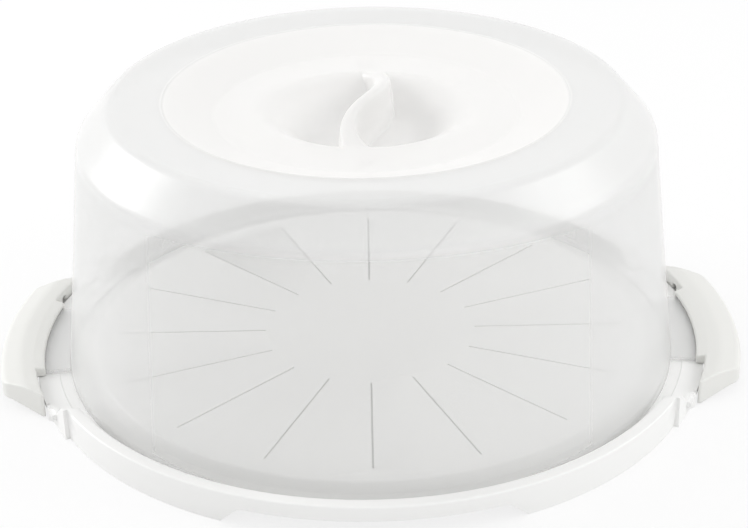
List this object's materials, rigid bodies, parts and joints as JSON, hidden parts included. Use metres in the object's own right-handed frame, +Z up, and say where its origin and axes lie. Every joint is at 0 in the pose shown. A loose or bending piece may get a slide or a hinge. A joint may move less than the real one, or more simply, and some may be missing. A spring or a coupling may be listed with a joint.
{
  "type": "cake carrier",
  "caption": "Round cake carrier: slicing tray with hinged latch handles at both sides and a translucent lift-off dome cover with a sunken S-shaped finger grip.",
  "frame": {"origin": "centre of the round tray, on the plane that its skirt stands on", "axes": "+X to the right handle, +Y to the back, +Z up"},
  "size_m": [0.371, 0.328, 0.1412],
  "materials": {
    "tray": "satin natural polypropylene, slightly milky",
    "cover": "glossy translucent polypropylene",
    "handle": "satin natural polypropylene, slightly milky"
  },
  "bodies": {
    "tray": {"base_tray": "tray"},
    "cover": {"cover": "cover"},
    "latch_right": {"latch_handle_right": "handle"},
    "latch_left": {"latch_handle_left": "handle"}
  },
  "joints": [
    {"name": "cover_lift", "type": "slide", "parent": "tray", "child": "cover", "axis": [0, 0, 1], "range_m": [0, 0.18]},
    {"name": "latch_right_press", "type": "hinge", "parent": "tray", "child": "latch_right", "pos_m": [0.172, 0, 0.0062], "axis": [0, 1, 0], "range_deg": [0, 14]},
    {"name": "latch_left_press", "type": "hinge", "parent": "tray", "child": "latch_left", "pos_m": [-0.172, 0, 0.0062], "axis": [0, -1, 0], "range_deg": [0, 14]}
  ]
}
